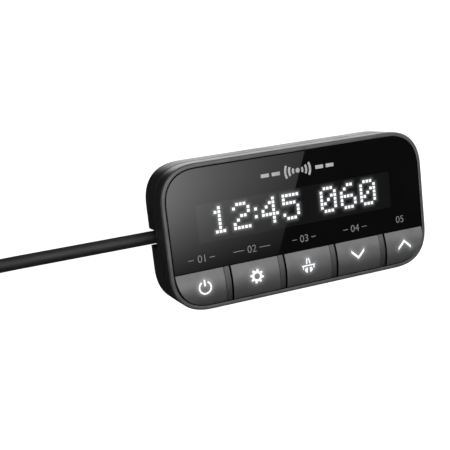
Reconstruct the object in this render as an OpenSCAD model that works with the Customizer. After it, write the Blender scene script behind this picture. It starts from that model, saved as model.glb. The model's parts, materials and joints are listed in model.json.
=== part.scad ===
// Remote display and control head of a two-piece radar detector.
// Millimetres. The unit lies on its back: +Z is the display's outward normal, +X runs along its
// width, +Y points to its top edge. The origin is the centre of the adhesive pad's rear face.

/* [Body] */
// Width of the housing
body_w = 88; // [86:0.5:92]
// Height of the housing, bottom edge to top edge
body_h = 43.6; // [43.2:0.1:45]
// Height of the lens face above the surface that the unit is stuck to
lens_z = 15.8; // [15.6:0.1:16.4]
// Height of the line where the rear cover meets the front housing
part_z = 9.9; // [9.8:0.1:10.2]
// Radius of the outer corners
corner_r = 10.6; // [10:0.1:11.5]
// Thickness of the housing walls
wall = 1.5; // [1.3:0.1:1.5]

/* [Front] */
// Width of the raised rim around the lens and the keys
rim_w = 1.24; // [1.1:0.02:1.3]
// Gap between the rim and what it frames
rim_gap = 0.3; // [0.25:0.01:0.35]
// Thickness of the lens
lens_t = 1.6; // [1.4:0.1:1.6]
// Width of the display window
window_w = 65.4; // [60:0.2:66]
// Height of the display window
window_h = 11.4; // [10:0.2:11.6]

/* [Keys] */
// Distance from the middle of the gap between two keys to the next
key_pitch = 17.76; // [17.5:0.02:18]
// Gap between neighbouring keys
key_gap = 0.4; // [0.36:0.02:0.5]
// How far the middle of a key stands above its edges
key_crown = 0.95; // [0.6:0.05:1.1]
// Travel of a key when it is pressed
key_travel = 0.5; // [0.3:0.05:0.5]

/* [Cord] */
// Diameter of the lead
cord_d = 4; // [4:0.1:4.2]
// Radius of the middle turn of the coiled lead
coil_r = 22; // [22:0.5:24]

/* [Hidden] */
$fn = 64;
eps = 0.01;

// Heights in the stack, from the adhesive pad up to the lens
pad_proud = 0.3;
pad_t = 0.8;
pad_size = [49.6, 31.6];
pad_gap = 0.2;
cover_z = pad_proud;
floor_t = 1.8;
floor_top = cover_z + floor_t;
seam = 0.2;
pcb_z = 8.4;
pcb_t = 1.2;
pcb_top = pcb_z + pcb_t;
web_t = 1.1;
web_top = lens_z - lens_t;
web_z = web_top - web_t;

// Steps that stand for the rounded rear edge and the chamfer of the rim: width and height
rear_step = [0.35, 0.6];
rim_step = [0.4, 0.45];

// Outline steps, measured inwards from the outer edge
lens_inset = rim_w + rim_gap;
lip_inset = wall + 0.1;
lip_t = 0.8;
lip_drop = 1.1;
pcb_inset = lip_inset + lip_t + 0.3;
half_w = body_w / 2;
half_h = body_h / 2;

// The display: window, panel and the frame that carries the panel
window_at = [-1, 3.85];
panel = [68, 14, 2];
panel_z = 12;
panel_gap = 1.5;
panel_fit = 0.2;
frame_rim = 1.1;
frame_top = 13.4;
frame_ledge = [3, 2];
pin_count = 20;
pin_pitch = 2.54;
pin_row_y = 4;
pin_r = 0.3;

// Keys: five in one row below the lens
key_names = ["menu", "dim", "road", "down", "up"];
key_top_y = -9.95;
lens_bottom_y = -9.7;
key_bottom_y = -(half_h - lens_inset);
key_mid_y = (key_top_y + key_bottom_y) / 2;
key_shift = 1.44;
strip_w = 1.85;
strip_groove_w = 0.16;
strip_groove_d = 0.15;
cap_z = 14.8;
post_r = 2.2;
post_hole_r = 2.7;
key_span = key_top_y - key_bottom_y;
key_arc_r = (key_span * key_span / 4 + key_crown * key_crown) / (2 * key_crown);

// Tact switches and lights under the keys. The two at the ends sit a little inwards on the board.
switch_w = 6;
switch_gap = 0.2;
switch_top = 12.9;
switch_leg = [1.2, 0.7];
switch_leg_at = [3.3, 2.2];
switch_limit_x = 33.8;
plunger_r = 1.75;
plunger_z = 11;
plunger_top = 13.5;
led = [1.6, 2.4, 0.7];
led_dome_r = 0.7;
led_dome_h = 0.4;
led_dx = 4.8;
led_hole = [2.2, 3];

// Screws: [x, y] of each, and the radius and thickness of their heads
cover_screw_at = [[-38, 15.5], [38, 15.5], [-39.4, -7.6], [39.4, -7.6]];
pcb_screw_at = [[-24, 15.6], [24, 15.6], [-17, -7.6], [19, -7.6]];
boss_top = 7;
boss_r = 3.4;
cover_screw_tip = 12;
pcb_screw_tip = 12.4;
post_wall = 1.25;
head_z = 2.6;
cover_head = [2.3, 1.2];
cover_shaft_r = 1.1;
board_head = [1.7, 1];
board_shaft_r = 0.8;
board_hole_r = 1;
counterbore_r = 2.6;
clearance_r = 1.3;
pilot_r = 1.15;
board_pilot_r = 0.85;

// What the board carries on its rear side: the middle, width, height and thickness of each chip
controller_at = [4, -10];
controller = [11, 8, 1.4];
driver_at = [21, 6];
driver = [9, 5, 1.5];
regulator_at = [-10, 11];
regulator = [6.5, 5, 2.3];
regulator_tab = [5.2, 3, 0.6];
leg_pitch = 1.1;
leg = [0.45, 1.4, 0.6];
capacitor_at = [[-33, 9], [-27.5, 9]];
capacitor_r = 2.2;
capacitor_h = 4.8;
capacitor_base = [4.2, 4.2, 0.7];
post_notch = 2.9;

// Socket and connector of the lead's inner wires: lowest and highest corner of each
socket = [[-16.5, -4.2, 2.6], [-9.5, 4.2, pcb_z]];
socket_hole = [[-17.5, -3.1, 2.9], [-11, 3.1, 6.1]];
connector = [[-21.5, -3, 3], [-11.2, 3, 6]];
connector_slots_y = [-2.2, 2.2];

// Cable channel in the back, open to the rear and to the left side
channel_half_w = 2.75;
channel_top = 6.8;
channel_end = -29.2;
channel_wall = 1.2;
end_wall = 1.4;
relief_z = 4.4;
relief_r = 2.9;
relief_block = [3, 6.8];
relief_block_z = [2.15, 7];
sleeve_len = 2.5;
sleeve_t = [0.15, 0.24];
bore_fit = 0.03;
wire_count = 4;
wire_r = 0.42;
wire_end_x = -21.5;

// The lead's route from its strain relief to the coil, and from the coil to its plug.
// The coil lies on the surface beside the unit. Twelve turns are wound three wide and four high.
coil_at = [-128, -6];
turns_wide = 3;
turns_high = 4;
coil_outer = coil_r + cord_d * turns_wide / 2;
coil_inner = coil_r - cord_d * turns_wide / 2;
coil_h = cord_d * turns_high;
lead_route = [
    [-25, 0, 4.4], [-30, 0, 4.4], [-34, 0, 3.7], [-39, 0, 2.5], [-44, 0, 2], [-52, 0, 2],
    [-60, 0, 2], [-68, 0, 2], [-76, 0, 2], [-84, 0, 2], [-92, 0, 2], [-97.5, 0.7, 2],
    [-102.5, 2.8, 2], [-107, 6.2, 2], [-110, 10, 2], [-113, 13.8, 2], [-117.5, 17.2, 2],
    [-122.5, 19.3, 2], [-128, 20, 2]
];
tail_route = [
    [-128, 20, 14], [-131.5, 19.7, 14.2], [-135, 18.9, 14.9], [-141, 16.5, 16.4], [-145.5, 13.2, 17.7],
    [-148.7, 9.5, 18.2], [-150.2, 5.5, 18.5], [-150.5, 2, 18.5], [-150.5, -2, 18.5]
];
tail_end = tail_route[len(tail_route) - 1];

// Modular plug on the far end, lying on the coil
plug_x = -150.5;
plug_y = -4;
plug = [9.6, 13, 5.6];
plug_z = coil_h;
latch_h = 1.7;
latch_w = 3;
latch_t = 0.9;
hinge_w = 3.4;
hinge_y = [-8.4, -6.8];
contact = [0.4, 3.2, 1.1];
contact_slot = [0.8, 4, 1.4];
contact_pitch = 1.27;
contact_count = 4;
boot_len = 7;
boot_floor = 2;
boot_r = [2.5, 2.3];
tie_w = 6;
tie_t = 0.6;
tie_turn = -60;

// ---- Shared shapes ----

// A rectangle with round corners, centred on the origin
module rounded_rect(w, h, r) {
    square([w - 2 * r, h], center = true);
    square([w, h - 2 * r], center = true);
    for (x = [-1, 1], y = [-1, 1])
        translate([x * (w / 2 - r), y * (h / 2 - r)]) circle(r, $fn = 96);
}

// The housing's outline, a given distance inside its outer edge
module outline(inset) {
    rounded_rect(body_w - 2 * inset, body_h - 2 * inset, corner_r - inset);
}

// A slab of that outline between two heights
module slab(inset, low, high) {
    translate([0, 0, low]) linear_extrude(high - low) outline(inset);
}

// A wall that follows the outline between two heights
module wall_ring(outer, inner, low, high) {
    translate([0, 0, low]) linear_extrude(high - low) difference() {
        outline(outer);
        outline(inner);
    }
}

// A box between two corners
module block(low, high) {
    translate(low) cube(high - low);
}

// An upright cylinder between two heights
module rod(at, r, low, high) {
    translate([at[0], at[1], low]) cylinder(r = r, h = high - low);
}

// A cylinder that runs along X
module rod_x(x_low, x_high, y, z, r) {
    translate([x_low, y, z]) rotate([0, 90, 0]) cylinder(r = r, h = x_high - x_low);
}

// A cross-head screw that points up, with the underside of its head at the given height
module screw(at, head, head_under, shaft_r, tip) {
    rod(at, shaft_r, head_under - eps, tip);
    difference() {
        rod(at, head[0], head_under - head[1], head_under);
        for (turn = [0, 90])
            translate([at[0], at[1], head_under - head[1]]) rotate(turn)
                cube([head[0] * 1.3, head[0] * 0.28, head[1]], center = true);
    }
}

// ---- Sweep of a round tube along a route ----

tube_sides = 10;
function unit(v) = v / norm(v);
function heading(route, i) =
    unit(route[min(i + 1, len(route) - 1)] - route[max(i - 1, 0)]);
function tube_ring(route, i, r) =
    let (
        ahead = heading(route, i),
        side = unit(cross([0, 0, 1], ahead)),
        up = cross(ahead, side)
    )
    [for (k = [0 : tube_sides - 1])
        let (turn = 360 * (k + 0.5) / tube_sides + 90)
        route[i] + r * (cos(turn) * side + sin(turn) * up)];
function tube_points(route, r) =
    [for (i = [0 : len(route) - 1]) each tube_ring(route, i, r)];
function tube_faces(count) = concat(
    [[for (k = [0 : tube_sides - 1]) k]],
    [for (i = [0 : count - 2], k = [0 : tube_sides - 1])
        let (a = i * tube_sides, b = a + tube_sides, next = (k + 1) % tube_sides)
        each [[a + k, b + k, a + next], [a + next, b + k, b + next]]],
    [[for (k = [tube_sides - 1 : -1 : 0]) (count - 1) * tube_sides + k]]
);

module tube(route, r) {
    polyhedron(points = tube_points(route, r), faces = tube_faces(len(route)), convexity = 8);
}

// ---- Housing ----

// Wall that encloses the cable channel on its sides, top and inner end
module channel_walls() {
    outer = channel_half_w + channel_wall;
    block([-half_w + eps, -outer, cover_z],
          [channel_end + end_wall, outer, channel_top + channel_wall]);
}

module rear_cover() {
    color([0.07, 0.07, 0.075]) difference() {
        union() {
            slab(rear_step[0], cover_z, cover_z + rear_step[1]);
            slab(0, cover_z + rear_step[1], floor_top);
            wall_ring(0, wall, floor_top - eps, part_z - seam / 2);
            for (at = cover_screw_at) rod(at, boss_r, floor_top - eps, boss_top);
            intersection() {
                channel_walls();
                slab(0, cover_z, boss_top + 2);
            }
        }
        block([-half_w - 1, -channel_half_w, cover_z - 1], [channel_end, channel_half_w, channel_top]);
        rod_x(channel_end - 1, channel_end + end_wall + 1, 0, relief_z, relief_r);
        block([-pad_size[0] / 2 - pad_gap, -pad_size[1] / 2 - pad_gap, cover_z - 1],
              [pad_size[0] / 2 + pad_gap, pad_size[1] / 2 + pad_gap, pad_t]);
        for (at = cover_screw_at) {
            rod(at, counterbore_r, cover_z - 1, head_z);
            rod(at, clearance_r, cover_z, boss_top + 1);
        }
    }
}

module front_housing() {
    color([0.1, 0.1, 0.105]) difference() {
        union() {
            wall_ring(0, lip_inset + lip_t, part_z + seam / 2, web_z + eps);
            wall_ring(lip_inset, lip_inset + lip_t, part_z - lip_drop, part_z + seam);
            slab(0, web_z, web_top);
            wall_ring(0, rim_w, web_top - eps, lens_z - rim_step[1]);
            wall_ring(rim_step[0], rim_w, lens_z - rim_step[1] - eps, lens_z);
            for (at = cover_screw_at) rod(at, pilot_r + post_wall, boss_top, web_z + eps);
            for (at = pcb_screw_at) rod(at, board_pilot_r + post_wall, pcb_top, web_z + eps);
        }
        translate([window_at[0], window_at[1], web_z])
            cube([panel[0] + 2 * panel_gap, panel[1] + 2 * panel_gap, 9], center = true);
        for (i = [0 : 4]) {
            rod([switch_x(i), key_mid_y], post_hole_r, web_z - 1, web_top + 1);
            translate([led_x(i), key_mid_y, web_z])
                cube([led_hole[0], led_hole[1], 9], center = true);
        }
        for (at = cover_screw_at) rod(at, pilot_r, boss_top - 1, cover_screw_tip + 0.4);
        for (at = pcb_screw_at) rod(at, board_pilot_r, pcb_top - 1, pcb_screw_tip + 0.4);
    }
}

module front_lens() {
    color([0.02, 0.02, 0.025]) difference() {
        intersection() {
            slab(lens_inset, web_top, lens_z);
            block([-half_w, lens_bottom_y, web_top], [half_w, half_h, lens_z]);
        }
        translate([window_at[0], window_at[1], lens_z])
            cube([window_w, window_h, 9], center = true);
    }
}

module display_window() {
    color([0.06, 0.06, 0.07])
        block([window_at[0] - window_w / 2, window_at[1] - window_h / 2, web_top],
              [window_at[0] + window_w / 2, window_at[1] + window_h / 2, lens_z]);
}

// ---- Display ----

module display_panel() {
    color([0.12, 0.14, 0.13])
        translate([window_at[0], window_at[1], panel_z + panel[2] / 2]) cube(panel, center = true);
}

module display_frame() {
    color([0.85, 0.85, 0.82]) translate([window_at[0], window_at[1], 0]) difference() {
        translate([0, 0, (pcb_top + frame_top) / 2])
            cube([panel[0] + 2 * frame_rim, panel[1] + 2 * frame_rim, frame_top - pcb_top],
                 center = true);
        translate([0, 0, panel_z + panel[2]])
            cube([panel[0] + panel_fit, panel[1] + panel_fit, 2 * panel[2]], center = true);
        translate([0, 0, pcb_top])
            cube([panel[0] - 2 * frame_ledge[0], panel[1] - 2 * frame_ledge[1], 9], center = true);
    }
}

module display_pins() {
    color([0.8, 0.66, 0.3]) for (i = [0 : pin_count - 1], row = [-1, 1])
        translate([window_at[0] + (i - (pin_count - 1) / 2) * pin_pitch,
                   window_at[1] + row * pin_row_y, pcb_top])
            cylinder(r = pin_r, h = panel_z - pcb_top, $fn = 16);
}

// ---- Circuit board and what is soldered to it ----

module main_pcb() {
    color([0.05, 0.3, 0.14]) difference() {
        slab(pcb_inset, pcb_z, pcb_top);
        for (at = cover_screw_at)
            block([at[0] < 0 ? -half_w : at[0] - post_notch, at[1] - post_notch, pcb_z - 1],
                  [at[0] < 0 ? at[0] + post_notch : half_w, at[1] > 0 ? half_h : at[1] + post_notch,
                   pcb_top + 1]);
        for (at = pcb_screw_at) rod(at, board_hole_r, pcb_z - 1, pcb_top + 1);
    }
}

// A flat chip on the rear of the board with a row of legs along two sides
module chip(at, size, leg_count) {
    block([at[0] - size[0] / 2, at[1] - size[1] / 2, pcb_z - size[2]],
          [at[0] + size[0] / 2, at[1] + size[1] / 2, pcb_z - leg[2] / 4]);
    for (i = [0 : leg_count - 1], side = [-1, 1])
        translate([at[0] + (i - (leg_count - 1) / 2) * leg_pitch,
                   at[1] + side * (size[1] / 2 + 0.4), pcb_z - leg[2] / 2])
            cube(leg, center = true);
}

module controller_chip() {
    color([0.05, 0.05, 0.055]) chip(controller_at, controller, 9);
}

module driver_chip() {
    color([0.05, 0.05, 0.055]) chip(driver_at, driver, 7);
}

module voltage_regulator() {
    tab_y = regulator_at[1] + regulator[1] / 2 - 0.1;
    color([0.08, 0.08, 0.085]) union() {
        chip(regulator_at, regulator, 3);
        block([regulator_at[0] - regulator_tab[0] / 2, tab_y, pcb_z - regulator_tab[2]],
              [regulator_at[0] + regulator_tab[0] / 2, tab_y + regulator_tab[1], pcb_z]);
    }
}

module capacitors() {
    color([0.7, 0.71, 0.73]) for (at = capacitor_at) {
        rod(at, capacitor_r, pcb_z - capacitor_h, pcb_z - capacitor_base[2] + 0.1);
        translate([at[0], at[1], pcb_z - capacitor_base[2] / 2])
            cube(capacitor_base, center = true);
    }
}

module cable_socket() {
    color([0.9, 0.88, 0.8]) difference() {
        block(socket[0], socket[1]);
        block(socket_hole[0], socket_hole[1]);
    }
}

module cable_connector() {
    color([0.92, 0.9, 0.84]) difference() {
        block(connector[0], connector[1]);
        for (y = connector_slots_y)
            block([connector[0][0] - 0.5, y - 0.3, connector[1][2] - 0.6],
                  [connector[0][0] + 4.5, y + 0.3, connector[1][2] + 0.5]);
    }
}

function wire_y(i) = i - (wire_count - 1) / 2;

module inner_wires() {
    wire_tones = [[0.7, 0.08, 0.06], [0.05, 0.05, 0.05], [0.85, 0.75, 0.1], [0.1, 0.45, 0.15]];
    for (i = [0 : wire_count - 1]) color(wire_tones[i])
        rod_x(channel_end + end_wall + relief_block[0] - eps, wire_end_x, wire_y(i), relief_z, wire_r);
}

// ---- Where the lead comes out ----

module strain_relief() {
    inner_end = channel_end + end_wall;
    color([0.05, 0.05, 0.05]) difference() {
        union() {
            rod_x(channel_end, inner_end + eps, 0, relief_z, relief_r);
            block([inner_end, -relief_block[1] / 2, relief_block_z[0]],
                  [inner_end + relief_block[0], relief_block[1] / 2, relief_block_z[1]]);
            translate([channel_end - sleeve_len, 0, relief_z]) rotate([0, 90, 0])
                cylinder(r1 = cord_d / 2 + sleeve_t[0], r2 = cord_d / 2 + sleeve_t[1],
                         h = sleeve_len + eps);
        }
        rod_x(channel_end - 2 * sleeve_len, inner_end + 2.8, 0, relief_z, cord_d / 2 + bore_fit);
        for (i = [0 : wire_count - 1])
            rod_x(inner_end + 2, inner_end + relief_block[0] + 1, wire_y(i), relief_z,
                  wire_r + bore_fit);
    }
}

module adhesive_pad() {
    color([0.2, 0.2, 0.2])
        linear_extrude(pad_t) rounded_rect(pad_size[0], pad_size[1], 2);
}

module cover_screws() {
    color([0.25, 0.25, 0.26])
        for (at = cover_screw_at) screw(at, cover_head, head_z, cover_shaft_r, cover_screw_tip);
}

module pcb_screws() {
    color([0.62, 0.62, 0.64])
        for (at = pcb_screw_at) screw(at, board_head, pcb_z, board_shaft_r, pcb_screw_tip);
}

// ---- Keys and the switches under them ----

// Left and right edge of each key cap
function gap_x(i) = key_shift + (i - 1.5) * key_pitch;
function key_left(i) = i == 0 ? -half_w : gap_x(i - 1) + key_gap / 2;
function key_right(i) = i == 4 ? half_w : gap_x(i) - key_gap / 2;
// Middle of the part of the cap that carries the symbol
function key_x(i) =
    (max(key_left(i), lens_inset - half_w)
     + (i == 4 ? half_w - lens_inset : key_right(i) - strip_w)) / 2;

// Where a key's post, switch and light sit on the board
function switch_x(i) = max(-switch_limit_x, min(switch_limit_x, key_x(i)));
function led_x(i) = switch_x(i) + (i == 4 ? -led_dx : led_dx);

// Everything below the crowned surface of the key row, lowered by a given depth
module under_crown(depth) {
    translate([-half_w, key_mid_y, lens_z + key_crown - key_arc_r]) rotate([0, 90, 0])
        cylinder(r = key_arc_r - depth, h = body_w, $fn = 180);
}

module key_cap(i) {
    color([0.14, 0.14, 0.15]) union() {
        difference() {
            intersection() {
                slab(lens_inset, cap_z, lens_z + 2);
                block([key_left(i), -half_h, cap_z], [key_right(i), key_top_y, lens_z + 2]);
                under_crown(0);
            }
            if (i < 4) difference() {
                block([key_right(i) - strip_w - strip_groove_w / 2, -half_h, lens_z - 1],
                      [key_right(i) - strip_w + strip_groove_w / 2, 0, lens_z + 2]);
                under_crown(strip_groove_d);
            }
        }
        rod([switch_x(i), key_mid_y], post_r, plunger_top, cap_z + eps);
    }
}

module plunger(i) {
    color([0.85, 0.83, 0.76]) rod([switch_x(i), key_mid_y], plunger_r, plunger_z, plunger_top);
}

module tact_switch(i) {
    low = pcb_top + switch_gap;
    leg_h = switch_gap + 0.3;
    color([0.08, 0.08, 0.09]) difference() {
        union() {
            block([switch_x(i) - switch_w / 2, key_mid_y - switch_w / 2, low],
                  [switch_x(i) + switch_w / 2, key_mid_y + switch_w / 2, switch_top]);
            for (x = [-1, 1], y = [-1, 1])
                translate([switch_x(i) + x * switch_leg_at[0], key_mid_y + y * switch_leg_at[1],
                           pcb_top + leg_h / 2])
                    cube([switch_leg[0], switch_leg[1], leg_h], center = true);
        }
        rod([switch_x(i), key_mid_y], plunger_r + 0.1, plunger_z - key_travel - 0.2, switch_top + 1);
    }
}

module key_led(i) {
    color([0.95, 0.95, 0.88]) translate([led_x(i), key_mid_y, pcb_top]) union() {
        translate([-led[0] / 2, -led[1] / 2, 0]) cube(led);
        translate([0, 0, led[2] - eps]) cylinder(r = led_dome_r, h = led_dome_h);
    }
}

// ---- Lead, its coil, its tie and its plug ----

module cord_lead() {
    color([0.05, 0.05, 0.05]) tube(lead_route, cord_d / 2);
}

module cord_tail() {
    color([0.05, 0.05, 0.05]) tube(tail_route, cord_d / 2);
}

module cord_coil() {
    color([0.06, 0.06, 0.06]) translate([coil_at[0], coil_at[1], 0]) rotate_extrude($fn = 96)
        translate([coil_inner, 0]) square([coil_outer - coil_inner, coil_h]);
}

// Band around the bundle of turns, at the side of the coil away from the plug
module cord_tie() {
    color([0.04, 0.04, 0.045]) translate([coil_at[0], coil_at[1], 0]) rotate(tie_turn) difference() {
        block([coil_inner - tie_t, -tie_w / 2, 0], [coil_outer + tie_t, tie_w / 2, coil_h + 2 * tie_t]);
        block([coil_inner, -tie_w, tie_t], [coil_outer, tie_w, coil_h + tie_t]);
    }
}

function contact_x(i) = (i - (contact_count - 1) / 2) * contact_pitch;

module plug_body() {
    color([0.75, 0.76, 0.78]) translate([plug_x, plug_y, plug_z]) {
        difference() {
            block([-plug[0] / 2, -plug[1], 0], [plug[0] / 2, 0, plug[2]]);
            for (i = [0 : contact_count - 1])
                block([contact_x(i) - contact_slot[0] / 2, -plug[1] - 1, plug[2] - contact_slot[2]],
                      [contact_x(i) + contact_slot[0] / 2, -plug[1] + contact_slot[1], plug[2] + 1]);
        }
        block([-hinge_w / 2, hinge_y[0], plug[2] - eps], [hinge_w / 2, hinge_y[1], plug[2] + latch_h]);
        block([-latch_w / 2, hinge_y[0] + latch_t, plug[2] + latch_h - latch_t],
              [latch_w / 2, -0.4, plug[2] + latch_h]);
    }
}

module plug_contacts() {
    color([0.83, 0.68, 0.3]) translate([plug_x, plug_y, plug_z]) for (i = [0 : contact_count - 1])
        translate([contact_x(i) - contact[0] / 2, -plug[1] + 0.4, plug[2] - contact_slot[2]])
            cube(contact);
}

module plug_boot() {
    color([0.05, 0.05, 0.05]) translate([plug_x, plug_y, tail_end[2]]) rotate([-90, 0, 0])
        difference() {
            cylinder(r1 = boot_r[0], r2 = boot_r[1], h = boot_len, $fn = 48);
            translate([0, 0, boot_floor]) cylinder(r = cord_d / 2 + bore_fit, h = boot_len);
        }
}

// ---- Nodes ----

rear_cover();
front_housing();
front_lens();
display_window();
display_panel();
display_frame();
display_pins();
main_pcb();
controller_chip();
driver_chip();
voltage_regulator();
capacitors();
cable_socket();
cable_connector();
inner_wires();
strain_relief();
adhesive_pad();
cover_screws();
pcb_screws();
for (i = [0 : 4]) {
    key_cap(i);
    plunger(i);
    tact_switch(i);
    key_led(i);
}
cord_lead();
cord_coil();
cord_tail();
cord_tie();
plug_body();
plug_contacts();
plug_boot();
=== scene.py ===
import json
import math

import bmesh
import bpy
from mathutils import Matrix, Vector, kdtree


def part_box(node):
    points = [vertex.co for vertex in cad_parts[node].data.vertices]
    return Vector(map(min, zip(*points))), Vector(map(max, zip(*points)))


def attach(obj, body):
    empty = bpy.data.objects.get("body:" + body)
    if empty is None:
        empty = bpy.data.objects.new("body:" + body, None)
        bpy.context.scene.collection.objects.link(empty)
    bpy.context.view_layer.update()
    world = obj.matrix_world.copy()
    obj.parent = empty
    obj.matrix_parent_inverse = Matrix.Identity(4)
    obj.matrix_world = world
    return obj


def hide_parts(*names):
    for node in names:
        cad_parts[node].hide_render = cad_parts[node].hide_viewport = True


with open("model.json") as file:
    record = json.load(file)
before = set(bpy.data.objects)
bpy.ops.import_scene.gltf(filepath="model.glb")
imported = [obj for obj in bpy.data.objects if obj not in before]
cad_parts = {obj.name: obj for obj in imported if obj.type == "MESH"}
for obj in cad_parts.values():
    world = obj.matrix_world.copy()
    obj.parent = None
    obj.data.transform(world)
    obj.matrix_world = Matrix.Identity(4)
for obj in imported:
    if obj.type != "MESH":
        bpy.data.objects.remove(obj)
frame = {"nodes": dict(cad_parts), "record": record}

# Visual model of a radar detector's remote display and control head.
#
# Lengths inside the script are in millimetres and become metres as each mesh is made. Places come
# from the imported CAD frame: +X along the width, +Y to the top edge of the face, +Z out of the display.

MM = 0.001
ROOT = "housing"
KEYS = ("menu", "dim", "road", "down", "up")
scene = bpy.context.scene
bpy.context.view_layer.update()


def box_mm(node):
    """Lowest and highest corner of a CAD node, in millimetres."""
    low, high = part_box(node)
    return low / MM, high / MM


# ---- Dimensions that the frame gives ----

housing_low, housing_high = box_mm("front_housing")
cover_low, cover_high = box_mm("rear_cover")
lens_low, lens_high = box_mm("front_lens")
window_low, window_high = box_mm("display_window")
HALF_W = housing_high.x
HALF_H = housing_high.y
FACE_Z = lens_high.z
LEDGE_Z = lens_low.z
LENS_INSET = HALF_W - lens_high.x
LENS_BOTTOM = lens_low.y
SEAM_LOW = cover_high.z
REAR_Z = cover_low.z

# ---- Dimensions that only the visual model needs ----

SEAM = 0.5
COVER_TOP = SEAM_LOW - SEAM * 0.3
HOUSING_BOTTOM = SEAM_LOW + SEAM * 0.7
CORNER_R = 12.6
CORNER_POWER = 2.5
CORNER_STEPS = 18
RIM_W = 1.24
CHAMFER_W = 0.34
CHAMFER_H = 0.4
REAR_ROUND = 0.8
REAR_TAPER = 0.1
FLOOR_T = 1.8
COVER_WALL = 1.5
WEB_T = 1.1
WEB_REACH = 11.7
LIP_OUTER = 1.6
LIP_INNER = 2.4
LIP_BOTTOM = housing_low.z + 1.8
CAP_BOTTOM = 14.8
POST_R = 2.2
POST_HOLE_R = 2.7
STRIP_W = 1.85
STRIP_DROP = 0.3
KEY_TRIM = 0.05
SYMBOL_SHIFT = {
    "menu": (0.92, 0.35),
    "dim": (0.04, 0.47),
    "road": (-0.33, 0.25),
    "down": (-0.44, 0.66),
    "up": (-0.42, 0.66),
}
KEY_EDGE = 0.1
CORD_D = 4.0
CORD_Z = 4.4
PRINT_PROUD = 0.012
PRINT_DEPTH = 0.1


# ---- Outlines and meshes ----


def corner_span(x, radius):
    """How far a corner curve of that radius still reaches at a distance x past its start."""
    share = min(max(x / radius, 0.0), 1.0)
    return radius * (1 - share**CORNER_POWER) ** (1 / CORNER_POWER)


def outline(inset):
    """Anticlockwise points of the housing's outline, a given distance inside its outer edge."""
    radius = max(CORNER_R - inset, 0.5)
    mid_x, mid_y = HALF_W - inset - radius, HALF_H - inset - radius
    points = []
    for quarter in range(4):
        for step in range(CORNER_STEPS + 1):
            turn = math.radians(90 * step / CORNER_STEPS)
            across = radius * math.cos(turn) ** (2 / CORNER_POWER)
            along = radius * math.sin(turn) ** (2 / CORNER_POWER)
            if quarter % 2:
                across, along = along, across
            x, y = mid_x + across, mid_y + along
            points.append((x if quarter in (0, 3) else -x, y if quarter in (0, 1) else -y))
    return points


def rounded(corners, steps=5):
    """A closed or open profile of (inset, z, radius) corners, with each corner rounded by an arc."""
    result = []
    count = len(corners)
    for i, (x, z, radius) in enumerate(corners):
        here = Vector((x, z))
        if radius <= 0:
            result.append((x, z))
            continue
        back = (Vector(corners[i - 1][:2]) - here).normalized()
        ahead = (Vector(corners[(i + 1) % count][:2]) - here).normalized()
        half = back.angle(ahead) / 2
        reach = radius / math.tan(half)
        centre = here + (back + ahead).normalized() * (radius / math.sin(half))
        start, end = here + back * reach - centre, here + ahead * reach - centre
        swing = start.angle_signed(end)
        for k in range(steps + 1):
            spoke = start.copy()
            spoke.rotate(Matrix.Rotation(-swing * k / steps, 2))
            result.append(tuple(centre + spoke))
    return result


def finish_mesh(name, bm, material, sharp_deg=35):
    """An object of a bmesh in millimetres, with consistent normals and sharp edges kept sharp."""
    bmesh.ops.remove_doubles(bm, verts=bm.verts, dist=1e-5)
    bmesh.ops.recalc_face_normals(bm, faces=bm.faces)
    bmesh.ops.scale(bm, vec=(MM, MM, MM), verts=bm.verts)
    mesh = bpy.data.meshes.new(name)
    bm.to_mesh(mesh)
    bm.free()
    piece = bpy.data.objects.new(name, mesh)
    scene.collection.objects.link(piece)
    mesh.materials.append(material)
    smooth_by_angle(mesh, sharp_deg)
    return piece


def smooth_by_angle(mesh, sharp_deg):
    bm = bmesh.new()
    bm.from_mesh(mesh)
    for face in bm.faces:
        face.smooth = True
    for edge in bm.edges:
        edge.smooth = len(edge.link_faces) == 2 and edge.calc_face_angle(0) < math.radians(sharp_deg)
    bm.to_mesh(mesh)
    bm.free()


def loft(bm, rings, closed=False):
    """Faces between rings of equal length. The last ring meets the first, or both ends are capped."""
    rows = [[bm.verts.new(p) for p in ring] for ring in rings]
    pairs = list(zip(rows, rows[1:])) + ([(rows[-1], rows[0])] if closed else [])
    for low, high in pairs:
        for k in range(len(low)):
            after = (k + 1) % len(low)
            bm.faces.new((low[k], low[after], high[after], high[k]))
    if not closed:
        bm.faces.new(rows[0][::-1])
        bm.faces.new(rows[-1])
    return bm


def outline_loft(profile, closed):
    rings = [[(x, y, z) for x, y in outline(inset)] for inset, z in profile]
    return loft(bmesh.new(), rings, closed)


def box_bm(low, high):
    bm = bmesh.new()
    bmesh.ops.create_cube(bm, size=1)
    size = Vector(high) - Vector(low)
    bmesh.ops.scale(bm, vec=size, verts=bm.verts)
    bmesh.ops.translate(bm, vec=Vector(low) + size / 2, verts=bm.verts)
    return bm


def rod_bm(x, y, radius, low, high, sides=40):
    bm = bmesh.new()
    bmesh.ops.create_cone(bm, cap_ends=True, segments=sides, radius1=radius, radius2=radius,
                          depth=high - low)
    bmesh.ops.translate(bm, vec=(x, y, (low + high) / 2), verts=bm.verts)
    return bm


def turn_bm(bm, angle_deg, axis):
    """Turns a bmesh about an axis through the origin."""
    turn = Matrix.Rotation(math.radians(angle_deg), 3, axis)
    bmesh.ops.rotate(bm, cent=(0, 0, 0), matrix=turn, verts=bm.verts)


def apply_modifiers(piece):
    graph = bpy.context.evaluated_depsgraph_get()
    mesh = bpy.data.meshes.new_from_object(piece.evaluated_get(graph))
    piece.modifiers.clear()
    piece.data = mesh


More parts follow.
